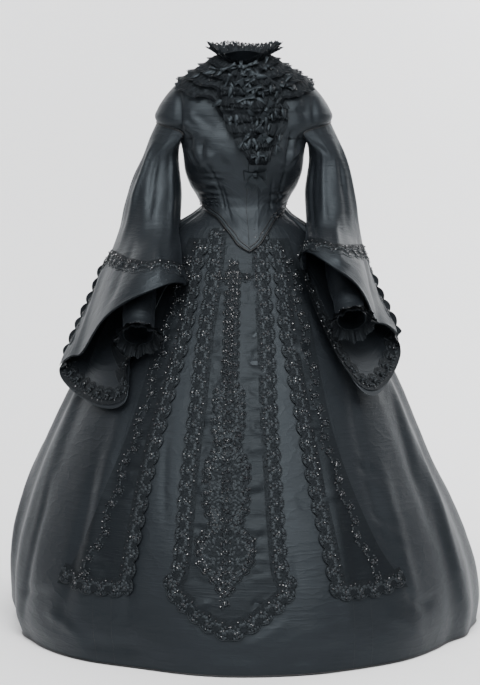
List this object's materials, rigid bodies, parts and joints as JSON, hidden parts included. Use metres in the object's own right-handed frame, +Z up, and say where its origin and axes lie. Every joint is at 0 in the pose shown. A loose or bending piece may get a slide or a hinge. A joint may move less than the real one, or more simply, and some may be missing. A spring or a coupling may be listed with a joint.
{
  "type": "mourning dress",
  "caption": "Black silk mourning dress as worn: pointed bodice, wide domed skirt, hanging sleeves over fitted inner sleeves, black lace collar, frills and tabs.",
  "frame": {"origin": "centre of the waist, where the wearer holds the dress up", "axes": "+Z up along the body, the front faces -Y, the wearer's left is at +X"},
  "size_m": [1.1875, 1.3126, 1.4662],
  "materials": {
    "silk": "black silk with a soft sheen",
    "lace": "matt black lace",
    "ribbon": "black satin",
    "piping": "covered cord"
  },
  "bodies": {
    "root": {"skirt_front": "silk", "skirt_strip_left": "silk", "skirt_strip_right": "silk", "skirt_side_left": "silk", "skirt_side_right": "silk", "skirt_back_left": "silk", "skirt_back_right": "silk", "waistband": "silk", "bodice_front_left": "silk", "bodice_front_right": "silk", "bodice_side_left": "silk", "bodice_side_right": "silk", "bodice_back": "silk", "sleeve_front_left": "silk", "sleeve_front_right": "silk", "sleeve_back_left": "silk", "sleeve_back_right": "silk", "sleeve_wing_left": "silk", "sleeve_wing_right": "silk", "inner_sleeve_left": "silk", "inner_sleeve_right": "silk", "tab_front": "lace", "tab_left": "lace", "tab_right": "lace", "wing_lace_left": "lace", "wing_lace_right": "lace", "mouth_lace_left": "lace", "mouth_lace_right": "lace", "wrist_frill_left": "lace", "wrist_frill_right": "lace", "neck_frill": "lace", "lace_collar": "lace", "jabot": "lace", "ribbon_bow_1": "ribbon", "ribbon_bow_2": "ribbon", "ribbon_bow_3": "ribbon", "ribbon_bow_end": "ribbon", "bodice_piping": "piping"}
  },
  "joints": []
}
